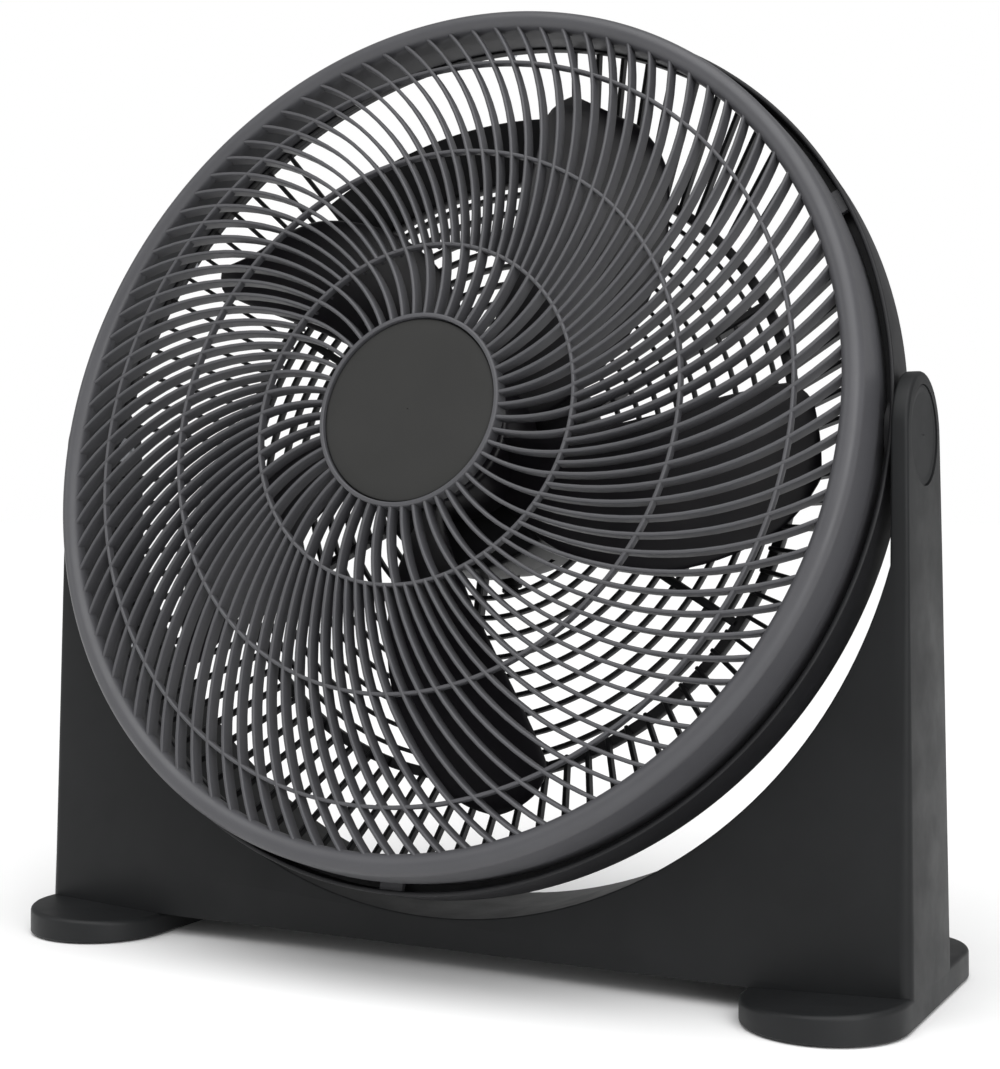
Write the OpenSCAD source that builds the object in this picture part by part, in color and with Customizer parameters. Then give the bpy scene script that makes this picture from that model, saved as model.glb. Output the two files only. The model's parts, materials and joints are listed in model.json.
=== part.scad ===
// Free-standing tilting floor fan: a round head on two side pivots in a U-shaped stand.
// Millimetres, +Z up. Origin on the floor, under the tilt axis, midway between the feet.
// The tilt axis runs along X. The grille faces -Y and is tipped upward at rest.

/* [Head] */
// Clear diameter inside the lip of the front rim
rim_opening = 480; // [380:10:580]
// Radius of the rounded front lip of the rim
lip_radius = 6; // [4:0.5:9]
// How far the front rim grows outward behind its lip
rim_flare = 1.5; // [0:0.5:5]
// Open groove between the front rim and the mouth of the rear housing
mouth_gap = 3; // [1.5:0.5:6]
// Wall thickness of the rear housing
housing_wall = 3; // [2:0.5:5]
// Distance from the tilt axis forward to the front of the rim
face_forward = 55; // [45:1:75]
// Distance from the tilt axis forward to the mouth of the rear housing
mouth_forward = 22; // [16:1:30]
// Distance from the tilt axis back to the rear grille
grille_back = 40; // [34:1:60]
// Upward tilt of the head at rest, in degrees
rest_tilt = 15; // [0:1:30]

/* [Front grille] */
// Number of ribs in the inner ring; twice as many run outside it
inner_ribs = 50; // [30:2:60]
// Thickness of one rib
rib_width = 2.2; // [1.6:0.2:3]
// Front-to-back depth of one rib
rib_depth = 9; // [5:1:12]
// Turn of an outer rib from the inner ring to the rim, in degrees
rib_sweep = 26.5; // [10:0.5:40]
// Radius of the blank cap at the centre
cap_radius = 54; // [40:1:70]

/* [Stand] */
// Gap between the head and each arm at the pivots
arm_gap = 1.5; // [1:0.5:4]
// Thickness of an arm at the pivots
arm_thickness = 9; // [8:0.5:20]
// Gap between the head and the round cut-out of the stand
cradle_gap = 11; // [8:1:20]
// Height of the stand below the lowest point of the cut-out
sill_height = 17; // [12:1:40]
// Extra half width of the stand at its foot
base_flare = 2.5; // [0:0.5:20]
// Half depth of the stand at its foot
base_half_depth = 42; // [36:1:60]
// Half depth of an arm at the pivots, which is also the radius of its round top
arm_half_depth = 33; // [29:1:34]
// Radius of the upright corners of the stand
corner_radius = 11; // [6:1:14]
// Wall thickness of the stand
stand_wall = 2.4; // [2:0.2:3]

/* [Feet] */
// Width of one foot
foot_width = 86; // [70:2:110]
// Height of the inner side of a foot
foot_height = 13; // [11:1:20]
// How much higher the outer side of a foot is
foot_rise = 4; // [0:0.5:6]
// Reach of a foot in front of the tilt axis
foot_front = 87; // [75:1:140]

/* [Impeller] */
// Number of blades
blade_count = 5; // [3:1:7]
// Gap between the blade tips and the rear housing ring
tip_gap = 24; // [8:1:30]
// Radius of the impeller hub
hub_radius = 44; // [30:1:50]
// Angle covered by one blade, in degrees
blade_span = 43; // [30:1:60]
// Radius of the motor shaft
shaft_radius = 4; // [3:0.5:6]

/* [Motor] */
// Outer radius of the motor
motor_radius = 48; // [40:1:54]
// Depth of the motor cover behind the rear grille
cover_depth = 72; // [72:1:95]

/* [Hidden] */
$fn = 64;
far = 900;
skin = 0.15;
run_fit = 0.05;
seat_fit = 0.03;
air = 0.5;
screw_radius = 2;

rim_radius = rim_opening / 2;
rim_mid = rim_radius + lip_radius;
rim_outer = rim_radius + 2 * lip_radius + rim_flare;
rim_wall = 3;
housing_inner = rim_outer + mouth_gap;
housing_outer = housing_inner + housing_wall;
ledge_forward = mouth_forward - 12;
wall_end = ledge_forward - 17;
rear_plane = -grille_back;
wide_ring = housing_outer - 72;
basket_inner = rim_outer - rim_wall - 1;
basket_front = ledge_forward - 7;
basket_reach = basket_inner + 1 - wide_ring;
basket_slope = atan((basket_front - rear_plane) / basket_reach);
basket_length = basket_reach / cos(basket_slope);
handle_reach = 37;

arm_inner = housing_outer + arm_gap;
arm_outer = arm_inner + arm_thickness;
cut_radius = housing_outer + cradle_gap;
cut_rise = 4.5;
pivot_height = foot_height + sill_height + cut_radius - cut_rise;
stand_rise = pivot_height - foot_height;
base_half_width = arm_outer + base_flare;
side_lean = atan(base_flare / stand_rise);
face_lean = atan((base_half_depth - arm_half_depth) / stand_rise);

cap_rise = 13.5;
rib_end = rim_radius + 4;
ring_one = cap_radius + 45;
ring_two = ring_one + (rim_radius - ring_one) * 0.417;
ring_three = ring_one + (rim_radius - ring_one) * 0.835;
ring_width = 2.4;
ring_depth = 5;
rib_part = 0.6;
inner_pitch = 360 / inner_ribs;
outer_pitch = inner_pitch / 2;

blade_radius = rim_radius - tip_gap;
blade_front = face_forward - 20;
blade_depth = 38;
blade_sheet = 2.4;
hub_front = blade_front - 2;
hub_back = hub_front - 40;
hub_wall = 3;

plate_radius = 70;
plate_thick = 4;
plate_back = rear_plane + 16;
bell_wall = 3;
bell_depth = 14;
core_depth = 22;
motor_front = plate_back - 1;
core_front = motor_front - bell_depth;
core_back = core_front - core_depth;
motor_back = core_back - bell_depth;
rotor_radius = 28;
bearing_radius = 11;
bearing_depth = 7;
cover_radius = 66;
cover_end_radius = 58;
cover_wall = 2.5;
cover_back = plate_back - cover_depth;
switch_offset = -31;
switch_half = 12;
switch_depth = 11;
spindle_radius = 3;
knob_radius = 16;
knob_depth = 16;
gland_radius = 7;
gland_axis = cover_back + 16;

bolt_radius = 5;
bolt_head_radius = 10;
bolt_head = 2.6;
boss_radius = 20;
boss_face = housing_outer + 0.5;
nut_radius = 9;
nut_depth = 6;
recess_radius = 26.3;
pad_radius = 13;
pad_lift = 1;
foot_wall = 3;
foot_half = foot_width / 2;
foot_axis = base_half_width - foot_half;
foot_back = face_forward * cos(rest_tilt) + rim_mid * sin(rest_tilt);
foot_lean = atan(foot_rise / foot_width);

// ---- shared shapes ----

// Places a head part: local Z points forward along the head axis, local Y up, local X along the tilt axis.
module in_head() {
    translate([0, 0, pivot_height])
        rotate([90 - rest_tilt, 0, 0])
            children();
}

// Repeats a part on both sides of the object.
module both_sides() {
    children();
    mirror([1, 0, 0])
        children();
}

// Round bar between two heights.
module bar(radius, low, high) {
    translate([0, 0, low])
        cylinder(r = radius, h = high - low);
}

// Round tube between two heights.
module tube(outer, inner, low, high) {
    difference() {
        bar(outer, low, high);
        bar(inner, low - 1, high + 1);
    }
}

// Round bar along X from one position to another, in any frame.
module cross_bar(radius, from, to) {
    translate([from, 0, 0])
        rotate([0, 90, 0])
            cylinder(r = radius, h = to - from);
}

// Pan-head screw standing on Z = 0 with its shank going down.
module pan_screw(length, head = 3.8) {
    bar(screw_radius, -length, 0.1);
    difference() {
        bar(head, 0, 2.2);
        translate([-head, -0.5, 1.4])
            cube([2 * head, 1, 2]);
    }
}

// ---- stand ----

// Quadrant with one rounded corner at the origin, reaching toward -X and -Y.
module rounded_quadrant(radius) {
    union() {
        translate([-far, -far])
            square([far - radius, far]);
        translate([-far, -far])
            square([far, far - radius]);
        translate([-radius, -radius])
            circle(r = radius);
    }
}

// One leaning upright corner of the stand, inset from the outer faces.
module leaning_corner(inset) {
    translate([base_half_width - inset, base_half_depth - inset, foot_height])
        rotate([face_lean, -side_lean, 0])
            translate([0, 0, -40])
                linear_extrude(height = stand_rise + arm_half_depth + 80)
                    rounded_quadrant(corner_radius - inset);
}

// Side view of the stand: straight below the pivots, round above them.
module arm_profile(inset) {
    translate([-far, 0, pivot_height])
        rotate([0, 90, 0])
            cylinder(r = arm_half_depth - inset, h = 2 * far);
    translate([-far, -far / 2, -far / 2])
        cube([2 * far, far, far / 2 + pivot_height]);
}

// Outer body of the stand, inset by a wall on every face, from a floor height upward.
module stand_block(inset, floor_height) {
    intersection() {
        leaning_corner(inset);
        mirror([1, 0, 0])
            leaning_corner(inset);
        mirror([0, 1, 0])
            leaning_corner(inset);
        mirror([1, 0, 0])
            mirror([0, 1, 0])
                leaning_corner(inset);
        arm_profile(inset);
        translate([-far, -far / 2, floor_height])
            cube([2 * far, far, far]);
    }
}

// Space swept by the head, grown by a wall.
module cradle(grow) {
    intersection() {
        translate([0, far / 2, pivot_height + cut_rise])
            rotate([90, 0, 0])
                cylinder(r = cut_radius + grow, h = far);
        translate([-arm_inner - grow, -far / 2, 0])
            cube([2 * (arm_inner + grow), far, far]);
    }
}

// Hollow of the stand, with an extra gap to the walls.
module stand_hollow(gap) {
    difference() {
        stand_block(stand_wall + gap, foot_height + foot_rise + stand_wall + gap);
        cradle(stand_wall + gap);
    }
}

// Places the six screws that hold the back panel: each at [x, height].
module stand_screw_places() {
    places = [
        [base_half_width - 92, foot_height + 20],
        [base_half_width - 26, foot_height + 50],
        [base_half_width - 24, foot_height + 128]
    ];
    for (place = places)
        both_sides()
            translate([place[0], 0, place[1]])
                children();
}

screw_seat = 12;

module stand_shell() {
    color([0.13, 0.14, 0.14])
        difference() {
            union() {
                difference() {
                    stand_block(0, foot_height);
                    cradle(0);
                    stand_hollow(0);
                    translate([0, stand_wall + 1, 0])
                        stand_hollow(0);
                }
                intersection() {
                    stand_hollow(0);
                    stand_screw_places()
                        translate([0, screw_seat, 0])
                            rotate([90, 0, 0])
                                cylinder(r = 5, h = far / 2);
                }
                intersection() {
                    stand_hollow(-0.2);
                    both_sides()
                        foot_screw_places()
                            bar(6, foot_height, foot_height + 24);
                }
            }
            stand_screw_places()
                translate([0, screw_seat + 1, 0])
                    rotate([90, 0, 0])
                        cylinder(r = screw_radius + seat_fit, h = 18);
            both_sides()
                foot_screw_places()
                    bar(screw_radius + seat_fit, 0, foot_height + 18);
            both_sides()
                foot_body(0);
            both_sides()
                translate([0, 0, pivot_height]) {
                    cross_bar(bolt_radius + run_fit, arm_inner - 1, arm_inner + stand_wall + 1);
                    cross_bar(recess_radius, arm_outer - stand_wall - 0.5, arm_outer + 5);
                }
        }
}

module stand_back() {
    color([0.12, 0.13, 0.13])
        difference() {
            union() {
                difference() {
                    translate([0, stand_wall, 0])
                        stand_hollow(skin);
                    translate([0, -skin, 0])
                        stand_hollow(0);
                    stand_hollow(0);
                    translate([-far, -far, 0])
                        cube([2 * far, far, far]);
                }
                intersection() {
                    translate([0, 1, 0])
                        stand_hollow(skin);
                    stand_screw_places()
                        translate([0, far / 2, 0])
                            rotate([90, 0, 0])
                                cylinder(r = 7, h = far / 2 - screw_seat);
                }
            }
            stand_screw_places()
                translate([0, screw_seat + 3, 0])
                    rotate([-90, 0, 0])
                        cylinder(r = 4.6, h = far);
            stand_screw_places()
                rotate([-90, 0, 0])
                    cylinder(r = screw_radius + seat_fit, h = far);
            both_sides()
                translate([0, 0, pivot_height])
                    cross_bar(recess_radius + air, arm_outer - stand_wall - 1, arm_outer + 5);
        }
}

module stand_screws() {
    color([0.7, 0.7, 0.72])
        stand_screw_places()
            translate([0, screw_seat + 3, 0])
                rotate([-90, 0, 0])
                    pan_screw(14);
}

// ---- feet ----

// Stadium outline of a foot, long side along Y.
module foot_outline(inset) {
    reach_front = foot_front - foot_half;
    reach_back = foot_back - foot_half;
    translate([foot_axis, -reach_front])
        circle(r = foot_half - inset);
    translate([foot_axis, reach_back])
        circle(r = foot_half - inset);
    translate([foot_axis - foot_half + inset, -reach_front])
        square([foot_width - 2 * inset, reach_front + reach_back]);
}

// Solid foot with its top leaning up toward the outside.
module foot_body(inset) {
    intersection() {
        translate([0, 0, pad_lift])
            linear_extrude(height = foot_height + foot_rise + 10)
                foot_outline(inset);
        translate([foot_axis - foot_half, 0, foot_height - inset])
            rotate([0, -foot_lean, 0])
                translate([-far / 2, -far / 2, -far])
                    cube([far, far, far]);
    }
}

// Places the two screws of the right foot.
module foot_screw_places() {
    for (shift = [-18, 18])
        translate([foot_axis, shift, 0])
            children();
}

// Places the four pads of the right foot.
module foot_pad_places() {
    inset = foot_half - pad_radius - 8;
    for (y = [-foot_front + foot_half - inset, foot_back - foot_half + inset])
        translate([foot_axis, y, 0])
            children();
}

module right_foot() {
    color([0.14, 0.15, 0.15])
        difference() {
            union() {
                difference() {
                    foot_body(0);
                    translate([0, 0, -1])
                        foot_body(foot_wall);
                }
                intersection() {
                    foot_body(0.5);
                    union() {
                        foot_screw_places()
                            bar(8, 5, far);
                        foot_pad_places()
                            bar(pad_radius + 3, 0, far);
                    }
                }
            }
            foot_screw_places() {
                bar(5, -1, 7.2);
                bar(screw_radius + seat_fit, 0, far);
            }
            foot_pad_places()
                bar(pad_radius + seat_fit, -1, 4);
        }
}

module left_foot() {
    mirror([1, 0, 0])
        right_foot();
}

module foot_screws() {
    color([0.7, 0.7, 0.72])
        both_sides()
            foot_screw_places()
                translate([0, 0, 7.2])
                    rotate([180, 0, 0])
                        pan_screw(20);
}

module foot_pads() {
    color([0.08, 0.08, 0.08])
        both_sides()
            foot_pad_places()
                bar(pad_radius, 0, 4);
}

// ---- pivots ----

module right_pivot_cap() {
    color([0.15, 0.16, 0.16])
        translate([0, 0, pivot_height])
            cross_bar(recess_radius - skin, arm_outer - stand_wall - 0.4, arm_outer - 1);
}

module left_pivot_cap() {
    mirror([1, 0, 0])
        right_pivot_cap();
}

module friction_washers() {
    color([0.75, 0.75, 0.7])
        both_sides()
            translate([0, 0, pivot_height])
                difference() {
                    cross_bar(boss_radius - 2, boss_face + 0.05, arm_inner - 0.05);
                    cross_bar(bolt_radius + 0.4, boss_face - 1, arm_inner + 1);
                }
}

module pivot_bolts() {
    color([0.7, 0.7, 0.72])
        both_sides()
            in_head()
                difference() {
                    union() {
                        cross_bar(bolt_radius, housing_inner - nut_depth - 2, arm_inner + stand_wall + 0.5);
                        cross_bar(bolt_head_radius, arm_inner + stand_wall + 0.3, arm_inner + stand_wall + bolt_head);
                    }
                    translate([arm_inner + stand_wall + bolt_head - 1, -bolt_head_radius, -0.8])
                        cube([2, 2 * bolt_head_radius, 1.6]);
                }
}

module pivot_nuts() {
    color([0.65, 0.65, 0.68])
        both_sides()
            in_head()
                difference() {
                    translate([housing_inner - 2.5 - nut_depth, 0, 0])
                        rotate([0, 90, 0])
                            cylinder(r = nut_radius, h = nut_depth, $fn = 6);
                    cross_bar(bolt_radius + seat_fit, housing_inner - 30, housing_inner);
                }
}

// ---- front grille ----

function polar(radius, angle) = [radius * cos(angle), radius * sin(angle)];

// Centre of the circle through three points.
function circle_centre(a, b, c) =
    let (
        d = 2 * (a[0] * (b[1] - c[1]) + b[0] * (c[1] - a[1]) + c[0] * (a[1] - b[1])),
        aa = a * a,
        bb = b * b,
        cc = c * c
    )
    [
        (aa * (b[1] - c[1]) + bb * (c[1] - a[1]) + cc * (a[1] - b[1])) / d,
        (aa * (c[0] - b[0]) + bb * (a[0] - c[0]) + cc * (b[0] - a[0])) / d
    ];

// Front surface of the domed grille at a radius: gently sloped inside ring one, steeper outside it.
function crown(radius) =
    radius < ring_one
        ? face_forward + cap_rise - 2.2 * (radius - cap_radius) / (ring_one - cap_radius)
        : face_forward + cap_rise - 2.2 - 12.3 * (radius - ring_one) / (rib_end - ring_one);

// Upright curved wall through three points of the grille plane, between two heights.
module curved_wall(a, b, c, width, low, high) {
    middle = circle_centre(a, b, c);
    radius = norm(a - middle);
    start = atan2(a[1] - middle[1], a[0] - middle[0]);
    finish = atan2(c[1] - middle[1], c[0] - middle[0]);
    turn = ((finish - start + 540) % 360) - 180;
    translate([middle[0], middle[1], low])
        rotate([0, 0, turn > 0 ? start : finish])
            rotate_extrude(angle = abs(turn))
                translate([radius - width / 2, 0])
                    square([width, high - low]);
}

// Rib between two radii that turns through an angle, with a front edge that follows the crown.
module crown_rib(inner, outer, sweep, bow) {
    half_way = (inner + outer) / 2;
    slope = atan((crown(inner + 1) - crown(outer - 1)) / (outer - inner - 2));
    rotate([0, 0, sweep / 2])
        intersection() {
            curved_wall(
                polar(inner, -sweep / 2),
                polar(half_way, -bow),
                polar(outer, sweep / 2),
                rib_width, crown(outer - 1) - rib_depth - 4, crown(inner + 1) + 4);
            translate([half_way, 0, crown(half_way)])
                rotate([0, slope, 0])
                    translate([-far / 2, -far / 2, -rib_depth])
                        cube([far, far, rib_depth]);
        }
}

module inner_ribs_all() {
    for (k = [0:inner_ribs - 1])
        rotate([0, 0, k * inner_pitch + 1.2])
            crown_rib(cap_radius + 1, ring_one - rib_part, 5.4, 1);
}

module outer_ribs_all() {
    for (k = [0:2 * inner_ribs - 1])
        rotate([0, 0, k * outer_pitch - 0.5])
            crown_rib(ring_one + rib_part, rib_end, rib_sweep, 0.4);
}

// Thin ring of the grille at a radius, its face just below the ribs.
module grille_ring(radius) {
    top = crown(radius) - 0.3;
    tube(radius + ring_width / 2, radius - ring_width / 2, top - ring_depth, top);
}

// Front rim: rounded lip, flared outer wall and a skirt that enters the rear housing.
module front_rim() {
    lip = face_forward - lip_radius;
    skirt_end = ledge_forward + 0.3;
    sleeve = rib_end - 1.5;
    rotate_extrude() {
        intersection() {
            translate([rim_mid, lip])
                circle(r = lip_radius);
            translate([0, lip])
                square([2 * rim_radius, 2 * lip_radius]);
        }
        polygon([
            [rim_radius, lip - 2.5],
            [rim_radius, lip],
            [rim_mid + lip_radius, lip],
            [rim_outer, mouth_forward + 5],
            [rim_outer, mouth_forward + 3],
            [rim_outer - 1, mouth_forward + 3],
            [rim_outer - 1, skirt_end],
            [rim_outer - 1 - rim_wall, skirt_end],
            [rim_outer - 1 - rim_wall, lip - 5],
            [sleeve + rim_wall, lip - 5],
            [sleeve + rim_wall, lip - 14],
            [sleeve, lip - 14],
            [sleeve, lip - 2.5]
        ]);
    }
}

latch_angles = [30, 150, 270];
latch_width = 14;

module front_grille() {
    color([0.29, 0.28, 0.31])
        in_head()
            union() {
                front_rim();
                tube(cap_radius + 2.2, cap_radius - 0.3, crown(cap_radius) - rib_depth, crown(cap_radius) + 0.6);
                bar(cap_radius, crown(cap_radius) - rib_depth, crown(cap_radius) - rib_depth + 3);
                grille_ring(ring_one);
                grille_ring(ring_two);
                grille_ring(ring_three);
                inner_ribs_all();
                outer_ribs_all();
                for (angle = latch_angles)
                    rotate([0, 0, angle])
                        translate([rim_outer - 2, -latch_width / 2, ledge_forward + 4])
                            cube([mouth_gap + 3.5, latch_width, 3]);
            }
}

module front_cap() {
    color([0.17, 0.17, 0.17])
        in_head()
            bar(cap_radius - 0.5, crown(cap_radius) - rib_depth + 3, crown(cap_radius) - 1);
}

// ---- rear housing and rear grille ----

module rear_housing() {
    color([0.13, 0.14, 0.14])
        in_head()
            difference() {
                union() {
                    rotate_extrude()
                        polygon([
                            [housing_inner + 0.8, mouth_forward],
                            [housing_outer - 0.6, mouth_forward],
                            [housing_outer, mouth_forward - 0.8],
                            [housing_outer, wall_end + 1.5],
                            [housing_outer - 1, wall_end],
                            [housing_inner, wall_end],
                            [housing_inner, ledge_forward - 3],
                            [rim_outer - rim_wall - 2, ledge_forward - 3],
                            [rim_outer - rim_wall - 2, ledge_forward],
                            [housing_inner, ledge_forward]
                        ]);
                    for (side = [0, 1])
                        mirror([side, 0, 0])
                            intersection() {
                                cross_bar(boss_radius, housing_inner - 2.4, boss_face);
                                translate([0, -far / 2, -far / 2])
                                    cube([far, far, far / 2 + ledge_forward]);
                            }
                    for (side = [0, 1])
                        mirror([side, 0, 0])
                            cross_bar(boss_radius, housing_outer - 2.2, boss_face);
                }
                for (side = [0, 1])
                    mirror([side, 0, 0])
                        union() {
                            cross_bar(bolt_radius + seat_fit, housing_inner - 20, boss_face + 1);
                            translate([housing_inner - nut_depth - 3.5, -nut_radius - air, -nut_radius - air])
                                cube([nut_depth + 1.1, 2 * (nut_radius + air), nut_radius + air + ledge_forward + 1]);
                        }
                for (angle = latch_angles)
                    rotate([0, 0, angle])
                        translate([housing_inner - 1, -latch_width / 2 - 0.6, ledge_forward + 3.2])
                            cube([10, latch_width + 1.2, 4.6]);
                grille_screw_places()
                    bar(screw_radius + seat_fit, ledge_forward - 4, ledge_forward + 1);
            }
}

// Places the six screws that join the rear grille to the ledge of the rear housing.
module grille_screw_places() {
    for (k = [0:5])
        rotate([0, 0, 60 * k + 30])
            translate([basket_inner + 3, 0, 0])
                children();
}

rear_ring_width = 2.4;
rear_ring_depth = 5;
rear_ring_pitch = 12;
outer_bars = 90;
spokes = 6;
window_from = 80;
window_to = 128;
bar_angles = [for (k = [0:outer_bars - 1])
    let (angle = k * 360 / outer_bars)
    if (angle % 180 != 0 && (angle <= window_from || angle >= window_to)) angle];

// Point of the sloping side of the rear grille: along the slope, then forward across it.
function slope_point(along, across) = [
    wide_ring + along * cos(basket_slope) - across * sin(basket_slope),
    rear_plane - 2 + along * sin(basket_slope) + across * cos(basket_slope)
];

// Solid carrying handle: a band of the sloping side, below the open window at the top.
module grille_handle() {
    intersection() {
        rotate_extrude()
            polygon([
                slope_point(0.5, 1),
                slope_point(handle_reach, 1),
                slope_point(handle_reach, 4),
                slope_point(0.5, 4)
            ]);
        translate([0, 0, rear_plane - 10])
            linear_extrude(height = 60)
                polygon([
                    [0, 0],
                    polar(far / 2, window_from),
                    polar(far / 2, (window_from + window_to) / 2),
                    polar(far / 2, window_to)
                ]);
    }
}

module rear_grille() {
    ring_total = floor((wide_ring - plate_radius - 8) / rear_ring_pitch);
    color([0.12, 0.13, 0.13])
        in_head()
            difference() {
                union() {
                    tube(housing_inner - 0.3, basket_inner, basket_front, basket_front + 4);
                    grille_handle();
                    tube(wide_ring + 3, wide_ring - 3, rear_plane - 7, rear_plane);
                    for (k = [1:ring_total])
                        tube(
                            plate_radius + k * rear_ring_pitch + rear_ring_width / 2,
                            plate_radius + k * rear_ring_pitch - rear_ring_width / 2,
                            rear_plane - rear_ring_depth - 1, rear_plane - 1);
                    for (k = [0:spokes - 1])
                        rotate([0, 0, k * 360 / spokes + 30])
                            translate([plate_radius - 2, -2.5, rear_plane - 8])
                                cube([wide_ring - plate_radius + 2, 5, 8]);
                    for (angle = bar_angles)
                        rotate([0, 0, angle])
                            translate([wide_ring, -rear_ring_width / 2, rear_plane - 2])
                                rotate([0, -basket_slope, 0])
                                    cube([basket_length + 2.5, rear_ring_width, rear_ring_depth]);
                    bar(plate_radius, plate_back, plate_back + plate_thick);
                    tube(plate_radius, plate_radius - 3, rear_plane - 8.6, plate_back + plate_thick);
                }
                bar(9, plate_back - 1, 0);
                motor_screw_places()
                    bar(screw_radius + seat_fit, plate_back - 1, 0);
                cover_screw_places()
                    bar(screw_radius + seat_fit, plate_back - 1, 0);
                grille_screw_places()
                    bar(screw_radius + seat_fit, basket_front - 1, basket_front + 5);
                for (side = [0, 1])
                    mirror([side, 0, 0]) {
                        translate([housing_inner - 2.9, -boss_radius - 1, -30])
                            cube([20, 2 * boss_radius + 2, 60]);
                        translate([housing_inner - nut_depth - 3.5, -nut_radius - 1.5, -30])
                            cube([20, 2 * nut_radius + 3, 60]);
                    }
            }
}

module grille_screws() {
    color([0.7, 0.7, 0.72])
        in_head()
            grille_screw_places()
                translate([0, 0, basket_front])
                    rotate([180, 0, 0])
                        pan_screw(6.5, 3.2);
}

// ---- motor ----

// Places the four screws that hold the motor to the rear grille.
module motor_screw_places() {
    for (k = [0:3])
        rotate([0, 0, 90 * k + 45])
            translate([motor_radius - 10, 0, 0])
                children();
}

// Places the three screws that hold the cover to the rear grille.
module cover_screw_places() {
    for (k = [0:2])
        rotate([0, 0, 120 * k + 90])
            translate([cover_radius - cover_wall - 5.5, 0, 0])
                children();
}

module motor_front_bell() {
    color([0.6, 0.61, 0.62])
        in_head()
            difference() {
                union() {
                    bar(motor_radius, core_front, motor_front);
                }
                bar(motor_radius - bell_wall, core_front - 1, motor_front - bell_wall - 2);
                bar(bearing_radius + seat_fit, motor_front - 8, motor_front - 1);
                bar(shaft_radius + 2, core_front, motor_front + 1);
                motor_screw_places()
                    bar(screw_radius + seat_fit, motor_front - 10, motor_front + 1);
            }
}

module motor_rear_bell() {
    color([0.6, 0.61, 0.62])
        in_head()
            difference() {
                bar(motor_radius, motor_back, core_back);
                bar(motor_radius - bell_wall, motor_back + bell_wall + 2, core_back + 1);
                bar(bearing_radius + seat_fit, motor_back + 1, motor_back + 8);
                bar(shaft_radius + 2, motor_back - 1, core_back);
            }
}

module front_bearing() {
    color([0.75, 0.75, 0.76])
        in_head()
            tube(bearing_radius, shaft_radius + run_fit, motor_front - 8, motor_front - 1);
}

module rear_bearing() {
    color([0.75, 0.75, 0.76])
        in_head()
            tube(bearing_radius, shaft_radius + run_fit, motor_back + 1, motor_back + 8);
}

module stator_core() {
    color([0.45, 0.46, 0.48])
        in_head()
            tube(motor_radius, rotor_radius + air, core_back, core_front);
}

module stator_windings() {
    winding_outer = motor_radius - bell_wall - 2;
    color([0.72, 0.4, 0.2])
        in_head() {
            tube(winding_outer, rotor_radius + 4, core_front, core_front + 8);
            tube(winding_outer, rotor_radius + 4, core_back - 8, core_back);
        }
}

module motor_screws() {
    color([0.7, 0.7, 0.72])
        in_head()
            motor_screw_places()
                translate([0, 0, plate_back + plate_thick])
                    pan_screw(10);
}

module motor_cover() {
    color([0.12, 0.13, 0.13])
        in_head()
            difference() {
                union() {
                    rotate_extrude()
                        polygon([
                            [0, cover_back],
                            [cover_end_radius - 6, cover_back],
                            [cover_end_radius, cover_back + 6],
                            [cover_radius, plate_back],
                            [cover_radius - cover_wall, plate_back],
                            [cover_end_radius - cover_wall, cover_back + 7],
                            [cover_end_radius - 7, cover_back + cover_wall],
                            [0, cover_back + cover_wall]
                        ]);
                    intersection() {
                        cover_screw_places()
                            bar(6, plate_back - 20, plate_back);
                        difference() {
                            bar(cover_radius - cover_wall / 2, plate_back - 20, plate_back);
                            bar(motor_radius + 1, plate_back - 21, plate_back + 1);
                        }
                    }
                }
                cover_screw_places()
                    bar(screw_radius + seat_fit, plate_back - 14, plate_back + 1);
                translate([0, switch_offset, 0])
                    bar(spindle_radius + 0.6, cover_back - 1, cover_back + 5);
                translate([0, 0, gland_axis])
                    rotate([90, 0, 0])
                        cylinder(r = gland_radius - 2 + seat_fit, h = far);
                for (angle = [30:15:150])
                    rotate([0, 0, angle - 90])
                        translate([cover_end_radius - 14, -1.6, cover_back + 22])
                            cube([24, 3.2, 26]);
                for (angle = [30:15:150])
                    rotate([0, 0, angle + 90])
                        translate([cover_end_radius - 14, -1.6, cover_back + 22])
                            cube([24, 3.2, 26]);
            }
}

module cover_screws() {
    color([0.7, 0.7, 0.72])
        in_head()
            cover_screw_places()
                translate([0, 0, plate_back + plate_thick])
                    pan_screw(14);
}

module capacitor() {
    color([0.85, 0.85, 0.82])
        in_head()
            rotate([0, 0, 200])
                translate([motor_radius - 20, -14, motor_back - 13])
                    cube([18, 28, 12]);
}

module rotary_switch() {
    color([0.2, 0.2, 0.22])
        in_head()
            difference() {
                translate([-switch_half, switch_offset - switch_half, cover_back + cover_wall])
                    cube([2 * switch_half, 2 * switch_half, switch_depth]);
                translate([0, switch_offset, 0])
                    bar(spindle_radius + run_fit, cover_back, cover_back + cover_wall + switch_depth - 2);
            }
}

module cord_gland() {
    color([0.08, 0.08, 0.08])
        in_head()
            translate([0, 0, gland_axis])
                rotate([90, 0, 0])
                    difference() {
                        union() {
                            bar(gland_radius - 2, cover_end_radius - 8, cover_end_radius + 12);
                            bar(gland_radius, cover_end_radius + 3.2, cover_end_radius + 8);
                            bar(gland_radius, cover_end_radius - 8, cover_end_radius - 4.5);
                        }
                        bar(3.4, 0, far);
                    }
}

// ---- rotating parts ----

module motor_shaft() {
    color([0.8, 0.8, 0.82])
        in_head()
            bar(shaft_radius, motor_back + 0.5, hub_front + 10);
}

module rotor_core() {
    color([0.55, 0.56, 0.58])
        in_head()
            tube(rotor_radius, shaft_radius + seat_fit, core_back + 0.5, core_front - 0.5);
}

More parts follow.
